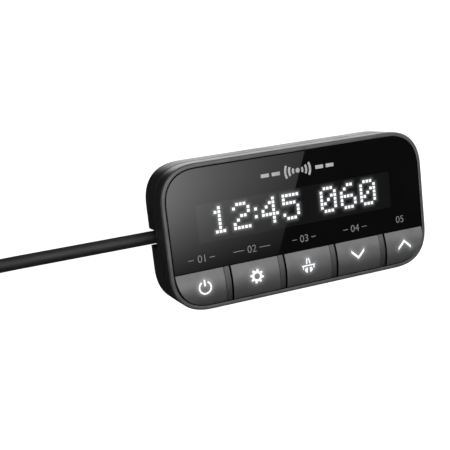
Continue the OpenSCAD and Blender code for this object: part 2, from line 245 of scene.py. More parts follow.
def combine(piece, tools, operation):
    """Adds solids to a piece or cuts them from it, and removes the solids."""
    for bm in tools:
        tool = finish_mesh("tool", bm, piece.data.materials[0])
        modifier = piece.modifiers.new("combine", "BOOLEAN")
        modifier.operation = operation
        modifier.solver = "EXACT"
        modifier.object = tool
        apply_modifiers(piece)
        bpy.data.objects.remove(tool)


def bevel(piece, width, segments=3, angle_deg=40):
    modifier = piece.modifiers.new("bevel", "BEVEL")
    modifier.width = width * MM
    modifier.segments = segments
    modifier.limit_method = "ANGLE"
    modifier.angle_limit = math.radians(angle_deg)
    apply_modifiers(piece)


def ride(piece, body, slot_name, *nodes):
    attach(piece, body)
    if nodes:
        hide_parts(*nodes)
    return piece


# ---- Materials ----


class Recipe:
    """A material under construction, around one Principled shader."""

    def __init__(self, name, colour, roughness, **sockets):
        self.material = bpy.data.materials.new(name)
        self.material.use_nodes = True
        self.nodes = self.material.node_tree.nodes
        self.links = self.material.node_tree.links
        self.shader = self.nodes["Principled BSDF"]
        self.shader.inputs["Base Color"].default_value = (*colour, 1)
        self.shader.inputs["Roughness"].default_value = roughness
        for socket, value in sockets.items():
            self.shader.inputs[socket.replace("_", " ")].default_value = value
        self.place = self.nodes.new("ShaderNodeTexCoord").outputs["Object"]

    def noise(self, size_mm, detail=2.0, stretch=None):
        """A noise pattern whose features are about size_mm wide."""
        texture = self.nodes.new("ShaderNodeTexNoise")
        texture.inputs["Scale"].default_value = 1 / (size_mm * MM)
        texture.inputs["Detail"].default_value = detail
        source = self.place
        if stretch:
            mapping = self.nodes.new("ShaderNodeMapping")
            mapping.inputs["Scale"].default_value = stretch
            self.links.new(source, mapping.inputs["Vector"])
            source = mapping.outputs["Vector"]
        self.links.new(source, texture.inputs["Vector"])
        return texture.outputs["Fac"]

    def ramp(self, factor, low, high, socket):
        """The socket goes from low to high as the pattern does."""
        spread = self.nodes.new("ShaderNodeMapRange")
        spread.inputs["From Min"].default_value = 0.3
        spread.inputs["From Max"].default_value = 0.7
        spread.inputs["To Min"].default_value = low
        spread.inputs["To Max"].default_value = high
        self.links.new(factor, spread.inputs["Value"])
        self.links.new(spread.outputs["Result"], self.shader.inputs[socket])
        return self

    def tones(self, factor, low, high, socket="Base Color", edges=(0.35, 0.65)):
        """The socket's colour goes from low to high as the pattern does."""
        ramp = self.nodes.new("ShaderNodeValToRGB")
        for element, place, colour in zip(ramp.color_ramp.elements, edges, (low, high)):
            element.position = place
            element.color = (*colour, 1)
        self.links.new(factor, ramp.inputs["Fac"])
        self.links.new(ramp.outputs["Color"], self.shader.inputs[socket])
        return self

    def bump(self, factor, height_mm, strength=1.0):
        node = self.nodes.new("ShaderNodeBump")
        node.inputs["Strength"].default_value = strength
        node.inputs["Distance"].default_value = height_mm * MM
        self.links.new(factor, node.inputs["Height"])
        self.links.new(node.outputs["Normal"], self.shader.inputs["Normal"])
        return self

    def glow(self, colour, strength):
        """Light that follows the mesh's own glow values."""
        attribute = self.nodes.new("ShaderNodeAttribute")
        attribute.attribute_name = "glow"
        scale = self.nodes.new("ShaderNodeMath")
        scale.operation = "MULTIPLY"
        scale.inputs[1].default_value = strength
        self.links.new(attribute.outputs["Fac"], scale.inputs[0])
        self.shader.inputs["Emission Color"].default_value = (*colour, 1)
        self.links.new(scale.outputs["Value"], self.shader.inputs["Emission Strength"])
        return self


def shade(colour, factor):
    return tuple(min(c * factor, 1.0) for c in colour)


def moulded(name, colour, roughness, grain_mm=0.18, height_mm=0.012, **sockets):
    """Moulded plastic or rubber: a fine spark texture, and slow changes of tone and gloss."""
    recipe = Recipe(name, colour, roughness, **sockets)
    recipe.bump(recipe.noise(grain_mm, 3), height_mm, 0.5)
    recipe.ramp(recipe.noise(9, 2), roughness - 0.04, roughness + 0.05, "Roughness")
    recipe.tones(recipe.noise(5, 3), shade(colour, 0.88), shade(colour, 1.12))
    return recipe.material


def polished(name, colour, roughness, haze=0.03, **sockets):
    """Polished plastic: a hard gloss with a trace of handling marks in it."""
    recipe = Recipe(name, colour, roughness, **sockets)
    recipe.ramp(recipe.noise(3, 5), roughness, roughness + haze, "Roughness")
    recipe.tones(recipe.noise(12, 2), shade(colour, 0.92), shade(colour, 1.08))
    return recipe


def metal(name, colour, roughness, grain_mm=0.3):
    """Plated metal with fine drawn lines."""
    recipe = Recipe(name, colour, roughness, Metallic=1.0)
    recipe.bump(recipe.noise(grain_mm, 4, (1, 1, 8)), 0.01, 0.4)
    recipe.ramp(recipe.noise(1.5, 3), roughness - 0.06, roughness + 0.08, "Roughness")
    recipe.tones(recipe.noise(2, 2), shade(colour, 0.9), shade(colour, 1.08))
    return recipe.material


def circuit_board(name, colour):
    """Green solder mask over copper traces."""
    recipe = Recipe(name, colour, 0.3, Coat_Weight=0.4)
    brick = recipe.nodes.new("ShaderNodeTexBrick")
    brick.inputs["Scale"].default_value = 1 / (6 * MM)
    brick.inputs["Mortar Size"].default_value = 0.03
    recipe.links.new(recipe.place, brick.inputs["Vector"])
    recipe.tones(brick.outputs["Fac"], colour, shade(colour, 1.9), edges=(0.3, 0.6))
    recipe.bump(brick.outputs["Fac"], 0.03, 0.5)
    return recipe.material


def lit(name, colour, strength, size_mm):
    """A lit surface, slightly uneven as light through a diffuser is."""
    recipe = Recipe(name, shade(colour, 0.35), 0.4)
    recipe.shader.inputs["Emission Color"].default_value = (*colour, 1)
    recipe.ramp(recipe.noise(size_mm, 2), strength * 0.94, strength * 1.06, "Emission Strength")
    return recipe.material


CLEAR_WHITE = (0.96, 0.98, 1.0)
WINDOW_GLOW = 0.15
KEY_GLOW = 0.15

window_recipe = polished("window_tint", (0.0175, 0.0175, 0.018), 0.03, 0.015, Specular_IOR_Level=0.55)
window_recipe.glow(CLEAR_WHITE, WINDOW_GLOW)


def key_material(name, colour):
    """Dark satin paint over plastic, lit from behind round its symbol."""
    recipe = Recipe(name, colour, 0.42, Metallic=0.6)
    recipe.bump(recipe.noise(0.14, 3), 0.006, 0.5)
    recipe.ramp(recipe.noise(6, 2), 0.39, 0.45, "Roughness")
    recipe.tones(recipe.noise(4, 3), shade(colour, 0.94), shade(colour, 1.06))
    recipe.glow(CLEAR_WHITE, KEY_GLOW)
    return recipe.material


# A darker copy of the key paint for the strip that slopes away on each key's right: painted shade, added
# to the real shading of the slope.
KEY_STRIP_PAINTED_SHADE = key_material("key_strip_painted_shade", (0.118, 0.118, 0.12))

MATERIALS = {
    "cover_plastic": moulded("cover_plastic", (0.011, 0.011, 0.0115), 0.32),
    "housing_plastic": moulded("housing_plastic", (0.012, 0.012, 0.0125), 0.3),
    "lens_black": polished("lens_black", (0.0075, 0.0075, 0.0078), 0.012, 0.01).material,
    "window_tint": window_recipe.material,
    "panel_glass": polished("panel_glass", (0.03, 0.035, 0.033), 0.1).material,
    "white_plastic": moulded("white_plastic", (0.75, 0.75, 0.7), 0.45),
    "gold": metal("gold", (0.83, 0.62, 0.25), 0.25),
    "board_green": circuit_board("board_green", (0.015, 0.13, 0.05)),
    "chip_black": moulded("chip_black", (0.02, 0.02, 0.021), 0.55, 0.1),
    "capacitor_can": metal("capacitor_can", (0.72, 0.73, 0.75), 0.3),
    "ivory_plastic": moulded("ivory_plastic", (0.8, 0.76, 0.64), 0.4),
    "wire_insulation": moulded("wire_insulation", (0.45, 0.05, 0.04), 0.35),
    "black_rubber": moulded("black_rubber", (0.014, 0.014, 0.014), 0.6, 0.25),
    "pad_foam": moulded("pad_foam", (0.06, 0.06, 0.06), 0.9, 0.5, 0.08),
    "black_steel": metal("black_steel", (0.09, 0.09, 0.095), 0.35),
    "plain_steel": metal("plain_steel", (0.6, 0.6, 0.62), 0.3),
    "key_plastic": key_material("key_plastic", (0.168, 0.168, 0.17)),
    "switch_plastic": moulded("switch_plastic", (0.02, 0.02, 0.022), 0.4),
    "led_resin": polished("led_resin", (0.9, 0.9, 0.82), 0.1).material,
    "cord_jacket": moulded("cord_jacket", (0.02, 0.02, 0.0205), 0.5, 0.3, 0.02),
    "tie_band": moulded("tie_band", (0.012, 0.012, 0.013), 0.5),
    "plug_clear": polished("plug_clear", (0.7, 0.72, 0.75), 0.08, Transmission_Weight=0.85,
                           IOR=1.58).material,
}
# Near-black matte with almost no gloss, put on the walls of the gaps round the lens and between the keys:
# painted shade.
GAP_PAINTED_SHADE = moulded("gap_painted_shade", (0.006, 0.006, 0.006), 0.85, 0.2, 0.01, Specular_IOR_Level=0.1)
RIM_PAINT = moulded("rim_paint", (0.12, 0.12, 0.122), 0.42, 0.12, 0.006, Metallic=0.6)
PRINT_GREY = moulded("print_grey", (0.32, 0.32, 0.32), 0.5, 0.1, 0.004)
EMBLEM_GREY = moulded("emblem_grey", (0.75, 0.75, 0.75), 0.4, 0.1, 0.004)
DOT_LIGHT = lit("dot_light", CLEAR_WHITE, 0.92, 0.6)
SYMBOL_LIGHT = lit("symbol_light", CLEAR_WHITE, 1.0, 1.5)

slot_of = {part["node"]: part["material_slot"] for part in frame["record"]["subparts"]}
for node_name, node in frame["nodes"].items():
    node.data.materials.clear()
    node.data.materials.append(MATERIALS[slot_of[node_name]])


# ---- Camera ----

CAMERA_AT = Vector((-117.1, 48.95, 251.7)) * MM
CAMERA_AIM = Vector((-25.2, 2.35, 15.8)) * MM
CAMERA_ROLL = math.radians(-6.6)
CAMERA_LENS = 70.2


def make_camera():
    data = bpy.data.cameras.new("camera")
    data.lens = CAMERA_LENS
    data.clip_start = 0.01
    camera = bpy.data.objects.new("camera", data)
    scene.collection.objects.link(camera)
    ahead = (CAMERA_AIM - CAMERA_AT).normalized()
    right = ahead.cross(Vector((0, 1, 0))).normalized()
    level_axes = Matrix((right, right.cross(ahead), -ahead)).transposed()
    turned = Matrix.Rotation(CAMERA_ROLL, 3, -ahead) @ level_axes
    camera.matrix_world = Matrix.Translation(CAMERA_AT) @ turned.to_4x4()
    scene.camera = camera


make_camera()


# ---- Lead: the same route as the CAD, with the coil's turns worked out ----

LEAD_ROUTE = (
    (-25, 0, 4.4), (-30, 0, 4.4), (-34, 0, 3.7), (-39, 0, 2.5), (-44, 0, 2), (-52, 0, 2),
    (-60, 0, 2), (-68, 0, 2), (-76, 0, 2), (-84, 0, 2), (-92, 0, 2), (-97.5, 0.7, 2),
    (-102.5, 2.8, 2), (-107, 6.2, 2), (-110, 10, 2), (-113, 13.8, 2), (-117.5, 17.2, 2),
    (-122.5, 19.3, 2),
)
TAIL_ROUTE = (
    (-131.5, 19.7, 14.2), (-135, 18.9, 14.9), (-141, 16.5, 16.4), (-145.5, 13.2, 17.7),
    (-148.7, 9.5, 18.2), (-150.2, 5.5, 18.5), (-150.5, 2, 18.5), (-150.5, -2, 18.5),
)
COIL_X, COIL_Y = -128, -6
COIL_RADII = (26, 22, 18)
COIL_LAYERS = 4
TURN_STEPS = 48
CROSSING = 40
TIE_TURN = -60
TIE_T = 0.6
TIE_W = 6
TIE_BEND = 2.2
TIE_LIFT_DEG = 14
# The band's section: share of its width and how far it stands off the turns
TIE_SECTION = ((-0.5, 0.1), (-0.44, TIE_T), (0.44, TIE_T), (0.5, 0.1), (0.5, 0), (-0.5, 0))
TIE_SPREAD = 1.6
BOOT_R = 2.5
BOOT_TAPER = 0.2
BOOT_RIB = 0.14
BOOT_RIBS = 4
BOOT_SIDES = 32
BOOT_STEPS = 28


def smooth_step(x):
    x = min(max(x, 0.0), 1.0)
    return x * x * (3 - 2 * x)


def coil_turns():
    """Points of the coil: each layer is wound across its radii, then the next one on top of it."""
    places = []
    for layer in range(COIL_LAYERS):
        radii = COIL_RADII if layer % 2 == 0 else COIL_RADII[::-1]
        places += [(radius, CORD_D * (layer + 0.5)) for radius in radii]
    points = []
    for i, (radius, height) in enumerate(places):
        next_radius, next_height = places[min(i + 1, len(places) - 1)]
        for step in range(TURN_STEPS):
            turn = 360 * step / TURN_STEPS
            share = smooth_step((turn - 360 + CROSSING) / CROSSING)
            r = radius + (next_radius - radius) * share
            angle = math.radians(90 + turn)
            near_tie = (90 + turn - TIE_TURN + 180) % 360 - 180
            lift = TIE_T * math.exp(-((near_tie / TIE_LIFT_DEG) ** 2))
            z = height + (next_height - height) * share + lift
            points.append((COIL_X + r * math.cos(angle), COIL_Y + r * math.sin(angle), z))
    return points


def smooth_route(route, parts=4):
    """A curve through the route's points, as more points."""
    route = [Vector(p) for p in route]
    points = []
    for i in range(len(route) - 1):
        before, here, after = route[max(i - 1, 0)], route[i], route[i + 1]
        later = route[min(i + 2, len(route) - 1)]
        for k in range(parts):
            t = k / parts
            points.append(0.5 * (2 * here + (after - before) * t
                                 + (2 * before - 5 * here + 4 * after - later) * t**2
                                 + (3 * here - before - 3 * after + later) * t**3))
    return points + [route[-1]]


def make_lead():
    turns = coil_turns()
    points = smooth_route(LEAD_ROUTE + (turns[0],))[:-1] + [Vector(p) for p in turns]
    points += smooth_route(TAIL_ROUTE)
    data = bpy.data.curves.new("lead", "CURVE")
    data.dimensions = "3D"
    data.bevel_depth = CORD_D / 2 * MM
    data.bevel_resolution = 5
    data.use_fill_caps = True
    spline = data.splines.new("POLY")
    spline.points.add(len(points) - 1)
    for target, point in zip(spline.points, points):
        target.co = (*(point * MM), 1)
    spline.use_smooth = True
    lead = bpy.data.objects.new("lead", data)
    scene.collection.objects.link(lead)
    data.materials.append(MATERIALS["cord_jacket"])
    return ride(lead, ROOT, "cord_jacket", "cord_lead", "cord_coil", "cord_tail")


def make_tie():
    """Silicone band round the bundle of turns."""
    inner, outer = COIL_RADII[-1] - CORD_D / 2, COIL_RADII[0] + CORD_D / 2
    top = COIL_LAYERS * CORD_D + TIE_T
    places = ((inner, TIE_T), (outer, TIE_T), (outer, top), (inner, top))
    inside = rounded([(*place, TIE_BEND) for place in places], 6)
    middle = Vector(((inner + outer) / 2, (TIE_T + top) / 2))
    rings = []
    half = Vector(((outer - inner) / 2, (top - TIE_T) / 2))
    for across, grow in TIE_SECTION:
        ring = []
        for x, z in inside:
            away = Vector((x, z)) - middle
            px = x + grow * max(min(away.x / half.x * TIE_SPREAD, 1), -1)
            pz = z + grow * max(min(away.y / half.y * TIE_SPREAD, 1), -1)
            ring.append((px, across * TIE_W, pz))
        rings.append(ring)
    bm = loft(bmesh.new(), rings, closed=True)
    turn_bm(bm, TIE_TURN, "Z")
    bmesh.ops.translate(bm, vec=(COIL_X, COIL_Y, 0), verts=bm.verts)
    return ride(finish_mesh("tie_band", bm, MATERIALS["tie_band"]), ROOT, "tie_band", "cord_tie")


def make_boot():
    """Ribbed boot over the lead's end, behind the plug."""
    low, high = box_mm("plug_boot")
    centre_x, centre_z = (low.x + high.x) / 2, (low.z + high.z) / 2
    length = high.y - low.y
    bore, seat, seat_r = CORD_D / 2 + 0.05, length * 0.3, 0.4
    profile = []
    for k in range(BOOT_STEPS + 1):
        share = k / BOOT_STEPS
        rib = 0.5 + 0.5 * math.cos(share * math.tau * BOOT_RIBS) if 0.1 < share < 0.95 else 1
        profile.append((share * length, BOOT_R - BOOT_TAPER * share - BOOT_RIB + BOOT_RIB * rib))
    profile += [(length, bore), (seat, bore), (seat, seat_r), (0, seat_r)]
    angles = [math.tau * k / BOOT_SIDES for k in range(BOOT_SIDES)]
    rings = []
    for along, radius in profile:
        rings.append([(centre_x + radius * math.cos(a), low.y + along, centre_z + radius * math.sin(a))
                      for a in angles])
    bm = loft(bmesh.new(), rings, closed=True)
    return ride(finish_mesh("boot", bm, MATERIALS["black_rubber"]), ROOT, "black_rubber", "plug_boot")


PLUG_LATCH_RISE = 1.7
PLUG_SLOTS = 4
PLUG_PITCH = 1.27
PLUG_FIRST_SLOT = -1.9
PLUG_SLOT = (0.8, 4, 1.4)
# Sections of the latch: distance from the plug's front, height over its top, half width, thickness
PLUG_LATCH = ((4.6, -0.3, 1.7, 0.9), (5.4, -0.1, 1.7, 1.1), (6.4, 0.4, 1.6, 1.0), (8, 0.8, 1.5, 0.9))
PLUG_LATCH_END = (-0.4, 0.9, 1.4, 0.8)


def make_plug():
    """Modular plug: a clear body with contact slots, a cord channel and its latch."""
    low, high = box_mm("plug_body")
    top = high.z - PLUG_LATCH_RISE
    middle = (low.x + high.x) / 2
    body = finish_mesh("plug_shell", box_bm(low, (high.x, high.y, top)), MATERIALS["plug_clear"])
    slots = []
    wide, deep, tall = PLUG_SLOT
    for i in range(PLUG_SLOTS):
        x = middle + i * PLUG_PITCH + PLUG_FIRST_SLOT
        slots.append(box_bm((x - wide / 2, low.y - 1, top - tall), (x + wide / 2, low.y + deep, top + 1)))
    cord_way = (low.x + 2.2, high.y - 3, low.z + 0.9), (high.x - 2.2, high.y + 1, top - 0.9)
    clamp_window = (low.x + 1.5, low.y + 6.6, top - 0.6), (high.x - 1.5, low.y + 8.2, top + 1)
    slots += [box_bm(*cord_way), box_bm(*clamp_window)]
    combine(body, slots, "DIFFERENCE")
    sections = [(low.y + y, top + z, w, t) for y, z, w, t in PLUG_LATCH]
    y, z, w, t = PLUG_LATCH_END
    sections.append((high.y + y, top + z, w, t))
    latch = loft(bmesh.new(), [
        [(middle - w, y, z), (middle + w, y, z), (middle + w, y, z + t), (middle - w, y, z + t)]
        for y, z, w, t in sections
    ])
    combine(body, [latch], "UNION")
    bevel(body, 0.12, 2)
    smooth_by_angle(body.data, 35)
    return ride(body, ROOT, "plug_clear", "plug_body")


lead = make_lead()
tie = make_tie()
boot = make_boot()
plug = make_plug()


# ---- Housing ----


def on_inner_wall(place):
    """Whether a place is inside the rim: on its inner wall or on the ledge that the lens sits on."""
    x, y = abs(place.x) / MM, abs(place.y) / MM
    corner_x, corner_y = HALF_W - CORNER_R, HALF_H - CORNER_R
    inner = CORNER_R - RIM_W * 0.95
    across, along = max(x - corner_x, 0) / inner, max(y - corner_y, 0) / inner
    return across**CORNER_POWER + along**CORNER_POWER < 1


def make_front_housing():
    """Side wall, chamfered rim, web below the lens and keys, and the lip inside the seam."""
    side = FACE_Z - CHAMFER_H
    web_bottom = LEDGE_Z - WEB_T
    profile = rounded((
        (0, HOUSING_BOTTOM, 0.12), (0, side, 0.15), (CHAMFER_W, FACE_Z, 0.1), (RIM_W, FACE_Z, 0.07),
        (RIM_W, LEDGE_Z, 0), (WEB_REACH, LEDGE_Z, 0), (WEB_REACH, web_bottom, 0),
        (LIP_INNER, web_bottom, 0), (LIP_INNER, LIP_BOTTOM, 0),
        (LIP_OUTER, LIP_BOTTOM, 0), (LIP_OUTER, HOUSING_BOTTOM, 0),
    ), 4)
    piece = finish_mesh("front_shell", outline_loft(profile, True), MATERIALS["housing_plastic"])
    holes = [rod_bm(*post_centre(key), POST_HOLE_R, LEDGE_Z - 2, LEDGE_Z + 1) for key in KEYS]
    combine(piece, holes, "DIFFERENCE")
    # The rim's top and chamfer get the grey rim paint. The rim's inner wall and the ledge inside it get
    # the near-black gap material: painted shade in the gap round the lens.
    piece.data.materials.append(RIM_PAINT)
    piece.data.materials.append(GAP_PAINTED_SHADE)
    for face in piece.data.polygons:
        if face.center.z > side * MM and face.normal.z > 0.5:
            face.material_index = 1
        elif face.center.z > (LEDGE_Z - 0.2) * MM and on_inner_wall(face.center):
            face.material_index = 2
    return ride(piece, ROOT, "housing_plastic", "front_housing")


SCREWS_AT = ((-38, 15.5), (38, 15.5), (-39.4, -7.6), (39.4, -7.6))
BOSS_R, BOSS_TOP = 3.4, 7
SCREW_HEAD_R, SCREW_HEAD_TOP = 2.6, 2.6
SCREW_R, SCREW_TOP = 1.3, 8
PAD_GAP = 0.2
CHANNEL_LOW, CHANNEL_HIGH = -2.52, 2.75
CHANNEL_TOP = 6.8
CHANNEL_END = -29.2
CHANNEL_WALL = 1.2
CHANNEL_END_WALL = 1.4
GROMMET_R, GROMMET_HALF = 2.9, 3
GROMMET_SHIFT = 0.7


def make_rear_cover():
    """Shell with its screw bosses, the pad's recess and the open cable channel."""
    inwards = 6
    profile = rounded((
        (REAR_TAPER + inwards, REAR_Z, 0), (REAR_TAPER, REAR_Z, REAR_ROUND),
        (0, COVER_TOP, 0.12), (inwards, COVER_TOP, 0),
    ), 6)
    piece = finish_mesh("rear_shell", outline_loft(profile, False), MATERIALS["cover_plastic"])
    cavity = outline_loft([(COVER_WALL, REAR_Z + FLOOR_T), (COVER_WALL, SEAM_LOW + 1)], False)
    combine(piece, [cavity], "DIFFERENCE")
    walls_low = (-HALF_W + 1, CHANNEL_LOW - CHANNEL_WALL, REAR_Z + 0.5)
    walls_high = (CHANNEL_END + CHANNEL_END_WALL, CHANNEL_HIGH + CHANNEL_WALL, CHANNEL_TOP + CHANNEL_WALL)
    combine(piece, [box_bm(walls_low, walls_high)], "UNION")
    combine(piece, [rod_bm(x, y, BOSS_R, REAR_Z + 1, BOSS_TOP) for x, y in SCREWS_AT], "UNION")
    below = REAR_Z - 1
    holes = [rod_bm(x, y, SCREW_HEAD_R, below, SCREW_HEAD_TOP) for x, y in SCREWS_AT]
    holes += [rod_bm(x, y, SCREW_R, below, SCREW_TOP) for x, y in SCREWS_AT]
    pad_low, pad_high = box_mm("adhesive_pad")
    holes.append(box_bm((pad_low.x - PAD_GAP, pad_low.y - PAD_GAP, below),
                        (pad_high.x + PAD_GAP, pad_high.y + PAD_GAP, pad_high.z)))
    holes.append(box_bm((-HALF_W - 1, CHANNEL_LOW, below), (CHANNEL_END, CHANNEL_HIGH, CHANNEL_TOP)))
    grommet = rod_bm(0, 0, GROMMET_R, -GROMMET_HALF, GROMMET_HALF)
    turn_bm(grommet, 90, "Y")
    bmesh.ops.translate(grommet, vec=(CHANNEL_END + GROMMET_SHIFT, 0, CORD_Z), verts=grommet.verts)
    holes.append(grommet)
    combine(piece, holes, "DIFFERENCE")
    smooth_by_angle(piece.data, 30)
    return ride(piece, ROOT, "cover_plastic", "rear_cover")


def make_lens():
    """Plate inside the rim, cut straight along its lower edge, with a hole for the window."""
    upper = [p for p in outline(LENS_INSET) if p[1] > LENS_BOTTOM]
    edge = HALF_W - LENS_INSET
    points = [(edge, LENS_BOTTOM)] + [p for p in upper if p[1] > 0] + [(-edge, LENS_BOTTOM)]
    bm = loft(bmesh.new(), [[(x, y, z) for x, y in points] for z in (LEDGE_Z, FACE_Z)])
    piece = finish_mesh("lens", bm, MATERIALS["lens_black"])
    bevel(piece, 0.06, 2)
    opening_low = (window_low.x, window_low.y, LEDGE_Z - 1)
    opening_high = (window_high.x, window_high.y, FACE_Z + 1)
    combine(piece, [box_bm(opening_low, opening_high)], "DIFFERENCE")
    smooth_by_angle(piece.data, 12)
    # The lens's sides and bevels get the near-black gap material: painted shade in the gap round the
    # lens.
    piece.data.materials.append(GAP_PAINTED_SHADE)
    for face in piece.data.polygons:
        if face.normal.z < 0.95:
            face.material_index = 1
    return ride(piece, ROOT, "lens_black", "front_lens")


# ---- Thin raised marks: dots, symbols and prints ----


def strip(bm, left, right, low, high, closed=False):
    """A thin solid between two lines of points. low and high give its faces' heights at a point."""
    count = len(left)
    rows = []
    for x, y in zip(left, right):
        rows.append([bm.verts.new((*x, low(*x))), bm.verts.new((*y, low(*y))),
                     bm.verts.new((*y, high(*y))), bm.verts.new((*x, high(*x)))])
    for i in range(count if closed else count - 1):
        here, after = rows[i], rows[(i + 1) % count]
        for k in range(4):
            bm.faces.new((here[k], here[(k + 1) % 4], after[(k + 1) % 4], after[k]))
    if not closed:
        bm.faces.new(rows[0])
        bm.faces.new(rows[-1][::-1])


def line_points(start, end, steps):
    return [(start[0] + (end[0] - start[0]) * k / steps, start[1] + (end[1] - start[1]) * k / steps)
            for k in range(steps + 1)]


def bar(start, end, width, steps=8):
    """The two edges of a straight bar."""
    start, end = Vector(start), Vector(end)
    ahead = (end - start).normalized()
    side = Vector((-ahead.y, ahead.x)) * width / 2
    left, right = (line_points(start + s, end + s, steps) for s in (side, -side))
    return left, right, False


def arc(centre, radius, width, first_deg, last_deg, steps=32):
    """The two edges of an arc, or of a ring when it goes all the way round."""
    whole = abs(last_deg - first_deg) >= 360
    count = steps if whole else steps + 1
    edges = []
    for r in (radius - width / 2, radius + width / 2):
        angles = (math.radians(first_deg + (last_deg - first_deg) * k / steps) for k in range(count))
        edges.append([(centre[0] + r * math.cos(a), centre[1] + r * math.sin(a)) for a in angles])
    return edges[0], edges[1], whole


GEAR_STEPS = 12
GEAR_TURN = 78
TOOTH_HALF = 0.25
TOOTH_FLANK = 0.12


def gear(centre, hole, root, tip, teeth):
    """The hole and the toothed outer edge of a gear wheel."""
    steps = teeth * GEAR_STEPS
    edges = ([], [])
    for k in range(steps):
        share = k * teeth / steps % 1
        rise = smooth_step((TOOTH_HALF - abs(share - 0.5)) / TOOTH_FLANK + 0.5)
        angle = math.tau * k / steps + math.radians(GEAR_TURN) - math.pi / teeth
        for edge, r in zip(edges, (hole, root + (tip - root) * rise)):
            edge.append((centre[0] + r * math.cos(angle), centre[1] + r * math.sin(angle)))
    return edges[0], edges[1], True


def chevron(centre, width, height, stroke, sign):
    """Two bars that meet in a mitred point; sign 1 points up and -1 down."""
    x, y = centre
    slope = math.hypot(width / 2, height)
    rise = stroke * slope / (width / 2)
    steps = 8
    upper, lower = [], []
    for k in range(2 * steps + 1):
        across = -1 + k / steps
        level = height * (1 - abs(across)) - height / 2
        px = x + across * width / 2
        upper.append((px, y + sign * (level + rise / 2)))
        lower.append((px, y + sign * (level - rise / 2)))
    return upper, lower, False


# Symbols on the keys, in millimetres from the symbol's centre
POWER_R, POWER_STROKE = 1.84, 0.46
POWER_FIRST_DEG, POWER_LAST_DEG = 121, 419
POWER_BAR_LOW, POWER_BAR_HIGH, POWER_BAR_W = 0.45, 2.33, 0.48
GEAR_HOLE, GEAR_ROOT, GEAR_TIP, GEAR_TEETH = 0.95, 1.56, 2.17, 8
BRIDGE_HALF, BRIDGE_Y, BRIDGE_W = 2.2, 0.22, 0.36
PIER_X, PIER_TOP, PIER_BOTTOM, PIER_W = 1.78, 0.02, -0.8, 0.34
LANE_FAR, LANE_NEAR, LANE_W = (0.27, 2.42), (0.58, 0.7), 0.37
ROAD_INNER = ((0.3, -0.4), (0.33, -0.8), (0.36, -1.2), (0.39, -1.6), (0.42, -2.0))
ROAD_OUTER = ((1.0, -0.4), (1.2, -0.8), (1.38, -1.2), (1.1, -1.6), (0.68, -2.0))
CHEVRON_W, CHEVRON_H, CHEVRON_STROKE = 4.6, 2.2, 0.62


def power_sign(centre):
    x, y = centre
    return [
        arc(centre, POWER_R, POWER_STROKE, POWER_FIRST_DEG, POWER_LAST_DEG, 44),
        bar((x, y + POWER_BAR_LOW), (x, y + POWER_BAR_HIGH), POWER_BAR_W),
    ]


def road_sign(centre):
    """A road that runs under a bridge."""
    x, y = centre
    shapes = [bar((x - BRIDGE_HALF, y + BRIDGE_Y), (x + BRIDGE_HALF, y + BRIDGE_Y), BRIDGE_W, 16)]
    for s in (-1, 1):
        pier_x = x + PIER_X * s
        shapes.append(bar((pier_x, y + PIER_TOP), (pier_x, y + PIER_BOTTOM), PIER_W, 4))
        far, near = ((x + across * s, y + up) for across, up in (LANE_FAR, LANE_NEAR))
        shapes.append(bar(far, near, LANE_W, 6))
        inner, outer = ([(x + s * a, y + b) for a, b in edge] for edge in (ROAD_INNER, ROAD_OUTER))
        shapes.append((inner, outer, False))
    return shapes


def symbol_shapes(key, centre):
    if key == "menu":
        return power_sign(centre)
    if key == "dim":
        return [gear(centre, GEAR_HOLE, GEAR_ROOT, GEAR_TIP, GEAR_TEETH)]
    if key == "road":
        return road_sign(centre)
    return [chevron(centre, CHEVRON_W, CHEVRON_H, CHEVRON_STROKE, 1 if key == "up" else -1)]


def marks(name, shapes, low, high, material):
    bm = bmesh.new()
    for left, right, closed in shapes:
        strip(bm, left, right, low, high, closed)
    return finish_mesh(name, bm, material)


def level(z):
    return lambda x, y: z


def print_on_face(name, shapes, material):
    """Marks that stand just proud of the flat face."""
    return marks(name, shapes, level(FACE_Z - PRINT_DEPTH), level(FACE_Z + PRINT_PROUD), material)


def solid_under(name, points, floor_z, material):
    """A solid between a grid of points and a flat floor below it."""
    bm = bmesh.new()
    grid = [[bm.verts.new(p) for p in row] for row in points]
    for r in range(len(grid) - 1):
        for k in range(len(grid[r]) - 1):
            bm.faces.new((grid[r][k], grid[r + 1][k], grid[r + 1][k + 1], grid[r][k + 1]))
    rim = grid[0] + [row[-1] for row in grid[1:]] + grid[-1][-2::-1] + [row[0] for row in grid[-2:0:-1]]
    foot = [bm.verts.new((v.co.x, v.co.y, floor_z)) for v in rim]
    for k in range(len(rim)):
        after = (k + 1) % len(rim)
        bm.faces.new((rim[k], rim[after], foot[after], foot[k]))
    bm.faces.new(foot)
    return finish_mesh(name, bm, material)


GLOW_LOW = FACE_Z - 0.2
GLOW_POWER = 1.3
KEY_REACH = 0.6
WINDOW_REACH = 0.42


def glow_from(piece, shapes, reach):
    """Gives a mesh glow values that fall off with the distance from lit shapes, on its upper side."""
    samples = []
    for left, right, closed in shapes:
        for a, b in zip(left, right):
            samples += [Vector((*point, 0)) for point in line_points(a, b, 2)]
    tree = kdtree.KDTree(len(samples))
    for i, sample in enumerate(samples):
        tree.insert(sample, i)
    tree.balance()
    glow = piece.data.attributes.new("glow", "FLOAT", "POINT")
    for i, vertex in enumerate(piece.data.vertices):
        place = Vector((vertex.co.x, vertex.co.y, 0)) / MM
        distance = tree.find(place)[2]
        if vertex.co.z / MM > GLOW_LOW:
            glow.data[i].value = math.exp(-((distance / reach) ** GLOW_POWER))


# ---- Keys ----


